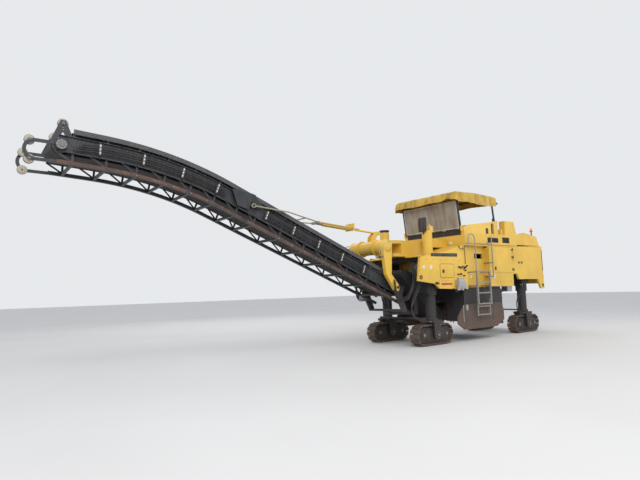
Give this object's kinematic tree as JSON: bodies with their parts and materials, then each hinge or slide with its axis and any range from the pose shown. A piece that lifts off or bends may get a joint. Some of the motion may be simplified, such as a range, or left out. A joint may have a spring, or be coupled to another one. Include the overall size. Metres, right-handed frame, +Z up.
{
  "type": "cold planer milling machine",
  "caption": "Self-propelled cold planer on steerable crawlers with a milling drum, operator platform and slewing, folding front discharge conveyor.",
  "frame": {"origin": "on the ground, midway along the machine's whole length and on its centre plane", "axes": "+X towards the conveyor's tip, +Y to the machine's left, +Z up"},
  "size_m": [16.2901, 2.81, 4.928],
  "materials": {
    "yellow_paint": "satin yellow enamel, dusty, chipped at edges",
    "black_paint": "satin black enamel with dust",
    "frame_paint": "matt black enamel with road dust",
    "track_steel": "worn steel with red soil",
    "drum_steel": "bare worn steel",
    "plate_steel": "worn plate caked with red soil",
    "grey_steel": "grey galvanised steel",
    "engine_iron": "cast iron",
    "belt_rubber": "ribbed rubber belt",
    "stay_steel": "weathered rods",
    "canvas_yellow": "dirty yellow tarpaulin",
    "screen_canvas": "dusty beige screen",
    "seat_black": "black seats and desk"
  },
  "bodies": {
    "machine": {"main_frame": "frame_paint", "nose_beam": "yellow_paint", "front_hood": "yellow_paint", "column_towers": "yellow_paint", "front_side_left": "yellow_paint", "front_side_right": "yellow_paint", "rear_side_left": "yellow_paint", "rear_side_right": "yellow_paint", "rear_wall": "yellow_paint", "engine_block": "engine_iron", "platform": "yellow_paint", "operator_station": "seat_black", "ladder_left": "grey_steel", "ladder_right": "grey_steel", "drum_housing": "frame_paint", "loading_conveyor": "frame_paint", "screen_frame": "black_paint", "windscreen": "screen_canvas", "filter_unit": "grey_steel", "battery_box": "grey_steel", "tower_fittings": "black_paint"},
    "crawler_front_left": {"leg_front_left": "frame_paint", "track_front_left": "track_steel"},
    "crawler_front_right": {"leg_front_right": "frame_paint", "track_front_right": "track_steel"},
    "crawler_rear_left": {"leg_rear_left": "frame_paint", "track_rear_left": "track_steel"},
    "crawler_rear_right": {"leg_rear_right": "frame_paint", "track_rear_right": "track_steel"},
    "tie_rod_front": {"tie_rod_front": "black_paint"},
    "tie_rod_rear": {"tie_rod_rear": "black_paint"},
    "drum": {"milling_drum": "drum_steel"},
    "side_plate_left": {"side_plate_left": "plate_steel"},
    "side_plate_right": {"side_plate_right": "plate_steel"},
    "scraper": {"scraper_gate": "frame_paint"},
    "steps_left": {"steps_left": "grey_steel"},
    "steps_right": {"steps_right": "grey_steel"},
    "engine_hood": {"engine_hood": "yellow_paint"},
    "service_door_left": {"service_door_left": "yellow_paint"},
    "service_door_right": {"service_door_right": "yellow_paint"},
    "slew_portal": {"conveyor_portal": "yellow_paint", "portal_carrier": "black_paint"},
    "conveyor_inner": {"conveyor_lower": "black_paint", "belt_lower": "belt_rubber"},
    "conveyor_outer": {"conveyor_upper": "black_paint", "belt_upper": "belt_rubber"},
    "lift_barrel": {"lift_barrel": "yellow_paint"},
    "lift_stays": {"lift_stays": "stay_steel"},
    "canopy_front": {"canopy_front_posts": "black_paint"},
    "canopy_rear": {"canopy_rear_posts": "black_paint"},
    "canopy_roof": {"canopy_roof": "canvas_yellow"}
  },
  "joints": [
    {"name": "steer_front_left", "type": "hinge", "parent": "machine", "child": "crawler_front_left", "pos_m": [-2.14022, 0.875, 0.7], "axis": [0, 0, 1], "range_deg": [-20, 20]},
    {"name": "steer_front_right", "type": "hinge", "parent": "machine", "child": "crawler_front_right", "pos_m": [-2.14022, -0.875, 0.7], "axis": [0, 0, 1], "range_deg": [-20, 20]},
    {"name": "tie_rod_front_pin", "type": "hinge", "parent": "crawler_front_left", "child": "tie_rod_front", "pos_m": [-1.84022, 0.875, 0.767], "axis": [0, 0, 1], "range_deg": [-20, 20]},
    {"name": "steer_rear_left", "type": "hinge", "parent": "machine", "child": "crawler_rear_left", "pos_m": [-7.19022, 0.875, 0.7], "axis": [0, 0, 1], "range_deg": [-20, 20]},
    {"name": "steer_rear_right", "type": "hinge", "parent": "machine", "child": "crawler_rear_right", "pos_m": [-7.19022, -0.875, 0.7], "axis": [0, 0, 1], "range_deg": [-20, 20]},
    {"name": "tie_rod_rear_pin", "type": "hinge", "parent": "crawler_rear_left", "child": "tie_rod_rear", "pos_m": [-7.49022, 0.875, 0.767], "axis": [0, 0, 1], "range_deg": [-20, 20]},
    {"name": "drum_turn", "type": "hinge", "parent": "machine", "child": "drum", "pos_m": [-4.36522, 0, 1], "axis": [0, 1, 0], "continuous": true},
    {"name": "side_plate_left_lift", "type": "slide", "parent": "machine", "child": "side_plate_left", "axis": [0, 0, 1], "range_m": [0, 0.4]},
    {"name": "side_plate_right_lift", "type": "slide", "parent": "machine", "child": "side_plate_right", "axis": [0, 0, 1], "range_m": [0, 0.4]},
    {"name": "scraper_open", "type": "hinge", "parent": "machine", "child": "scraper", "pos_m": [-5.47522, 0, 1.48], "axis": [0, 1, 0], "range_deg": [0, 80]},
    {"name": "steps_left_lift", "type": "slide", "parent": "machine", "child": "steps_left", "axis": [0, 0, 1], "range_m": [0, 0.3]},
    {"name": "steps_right_lift", "type": "slide", "parent": "machine", "child": "steps_right", "axis": [0, 0, 1], "range_m": [0, 0.3]},
    {"name": "conveyor_slew", "type": "hinge", "parent": "machine", "child": "slew_portal", "pos_m": [-1.26522, 0, 2.83], "axis": [0, 0, 1], "range_deg": [-50, 50]},
    {"name": "conveyor_lift", "type": "hinge", "parent": "slew_portal", "child": "conveyor_inner", "pos_m": [-0.94522, 0, 1.69], "axis": [0, -1, 0], "range_deg": [-8, 5]},
    {"name": "lift_barrel_pin", "type": "hinge", "parent": "slew_portal", "child": "lift_barrel", "pos_m": [-0.90522, 0, 3.29], "axis": [0, -1, 0], "range_deg": [-9, 6]},
    {"name": "lift_rod_stroke", "type": "slide", "parent": "lift_barrel", "child": "lift_stays", "axis": [0.9971, 0, 0.0761], "range_m": [-0.15, 0.23]},
    {"name": "conveyor_fold", "type": "hinge", "parent": "conveyor_inner", "child": "conveyor_outer", "pos_m": [3.57449, 0, 3.85711], "axis": [0, -1, 0], "range_deg": [0, 90]},
    {"name": "engine_hood_lift", "type": "hinge", "parent": "machine", "child": "engine_hood", "pos_m": [-6.55022, 0, 3.45], "axis": [0, 1, 0], "range_deg": [0, 55]},
    {"name": "service_door_left_swing", "type": "hinge", "parent": "machine", "child": "service_door_left", "pos_m": [-6.14822, 1.262, 2.51], "axis": [0, 0, 1], "range_deg": [0, 110]},
    {"name": "service_door_right_swing", "type": "hinge", "parent": "machine", "child": "service_door_right", "pos_m": [-6.14822, -1.262, 2.51], "axis": [0, 0, -1], "range_deg": [0, 110]},
    {"name": "canopy_lower", "type": "hinge", "parent": "machine", "child": "canopy_front", "pos_m": [-3.47522, 0, 3.5], "axis": [0, -1, 0], "range_deg": [0, 60]},
    {"name": "canopy_rear_swing", "type": "hinge", "parent": "machine", "child": "canopy_rear", "pos_m": [-5.61522, 0, 3.5], "axis": [0, -1, 0], "range_deg": [0, 60]},
    {"name": "canopy_roof_level", "type": "hinge", "parent": "canopy_front", "child": "canopy_roof", "pos_m": [-3.34579, 0, 4.42095], "axis": [0, -1, 0], "range_deg": [-60, 0]}
  ],
  "couplings": [
    {"joint": "steer_front_right", "follows": "steer_front_left", "ratio": 1},
    {"joint": "steer_rear_right", "follows": "steer_rear_left", "ratio": 1},
    {"joint": "tie_rod_front_pin", "follows": "steer_front_left", "ratio": -1},
    {"joint": "tie_rod_rear_pin", "follows": "steer_rear_left", "ratio": -1},
    {"joint": "lift_barrel_pin", "follows": "conveyor_lift", "ratio": 1.0257},
    {"joint": "lift_rod_stroke", "follows": "conveyor_lift", "m_per_rad": -1.5823},
    {"joint": "canopy_rear_swing", "follows": "canopy_lower", "ratio": 1},
    {"joint": "canopy_roof_level", "follows": "canopy_lower", "ratio": -1}
  ]
}
